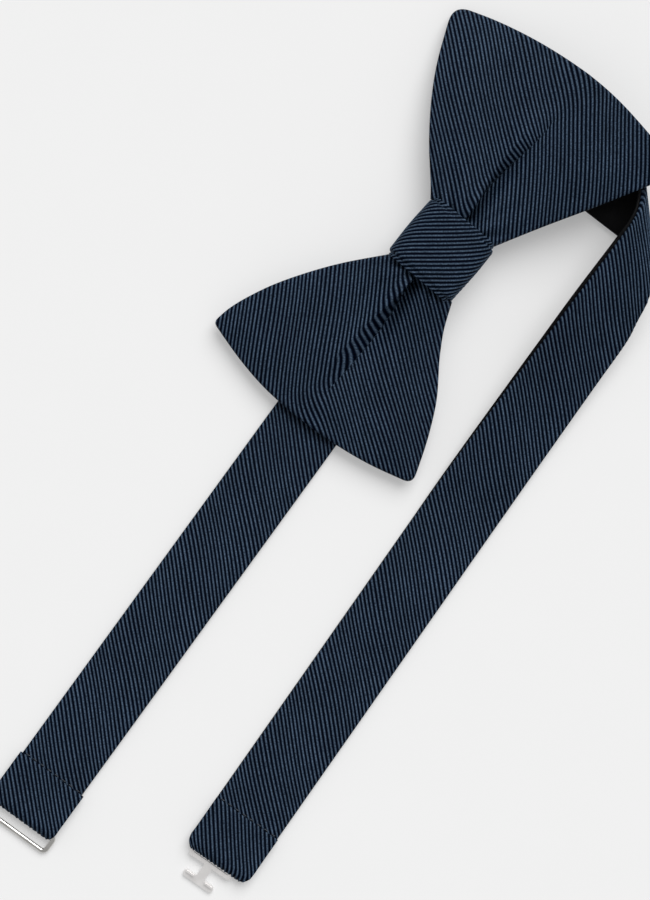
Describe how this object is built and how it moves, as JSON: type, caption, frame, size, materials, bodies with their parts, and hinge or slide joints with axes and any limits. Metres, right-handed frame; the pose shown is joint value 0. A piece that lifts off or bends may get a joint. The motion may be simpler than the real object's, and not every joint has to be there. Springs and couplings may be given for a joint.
{
  "type": "bow tie",
  "caption": "Pre-tied butterfly bow tie in ribbed cloth, with a wrapped knot and a lined neck band that closes with a hook and a ring.",
  "frame": {"origin": "centre of the knot's flat back, which lies on the surface", "axes": "+X along the bow, towards the wing that leans on the rolled band; +Y across the bow; +Z out of the knot's front"},
  "size_m": [0.2601, 0.1099, 0.0214],
  "materials": {
    "navy_silk": "navy ribbed silk with fine slanting cords",
    "black_lining": "plain black satin lining",
    "canvas": "unbleached woven interlining",
    "navy_thread": "navy sewing thread",
    "nickel": "bright nickel plate"
  },
  "bodies": {
    "bow": {"bow_face": "navy_silk", "bow_interlining": "canvas", "bow_backing": "navy_silk", "waist_thread": "navy_thread", "knot_wrap": "navy_silk", "knot_interlining": "canvas", "knot_stitches": "navy_thread", "band_face": "navy_silk", "band_interlining": "canvas", "band_lining": "black_lining"},
    "left_tail": {"left_tail_face": "navy_silk", "left_tail_interlining": "canvas", "left_tail_lining": "black_lining", "ring_turnover": "navy_silk", "ring_stitches": "navy_thread"},
    "ring": {"ring": "nickel"},
    "right_tail": {"right_tail_face": "navy_silk", "right_tail_interlining": "canvas", "right_tail_lining": "black_lining", "hook_turnover": "navy_silk", "hook_stitches": "navy_thread"},
    "t_hook": {"t_hook": "nickel"}
  },
  "joints": [
    {"name": "left_band_bend", "type": "hinge", "parent": "bow", "child": "left_tail", "pos_m": [-0.066, -0.00271, 0.001], "axis": [0.0698, -0.9976, 0], "range_deg": [-40, 80]},
    {"name": "ring_swivel", "type": "hinge", "parent": "left_tail", "child": "ring", "pos_m": [-0.191, -0.01146, 0.0018], "axis": [0.0698, -0.9976, 0], "range_deg": [-140, 110]},
    {"name": "right_band_bend", "type": "hinge", "parent": "bow", "child": "right_tail", "pos_m": [-0.058, -0.05087, 0.001], "axis": [0.0872, -0.9962, 0], "range_deg": [-40, 80]},
    {"name": "hook_swivel", "type": "hinge", "parent": "right_tail", "child": "t_hook", "pos_m": [-0.16621, -0.05914, 0.0018], "axis": [0.0872, -0.9962, 0], "range_deg": [-95, 80]}
  ]
}
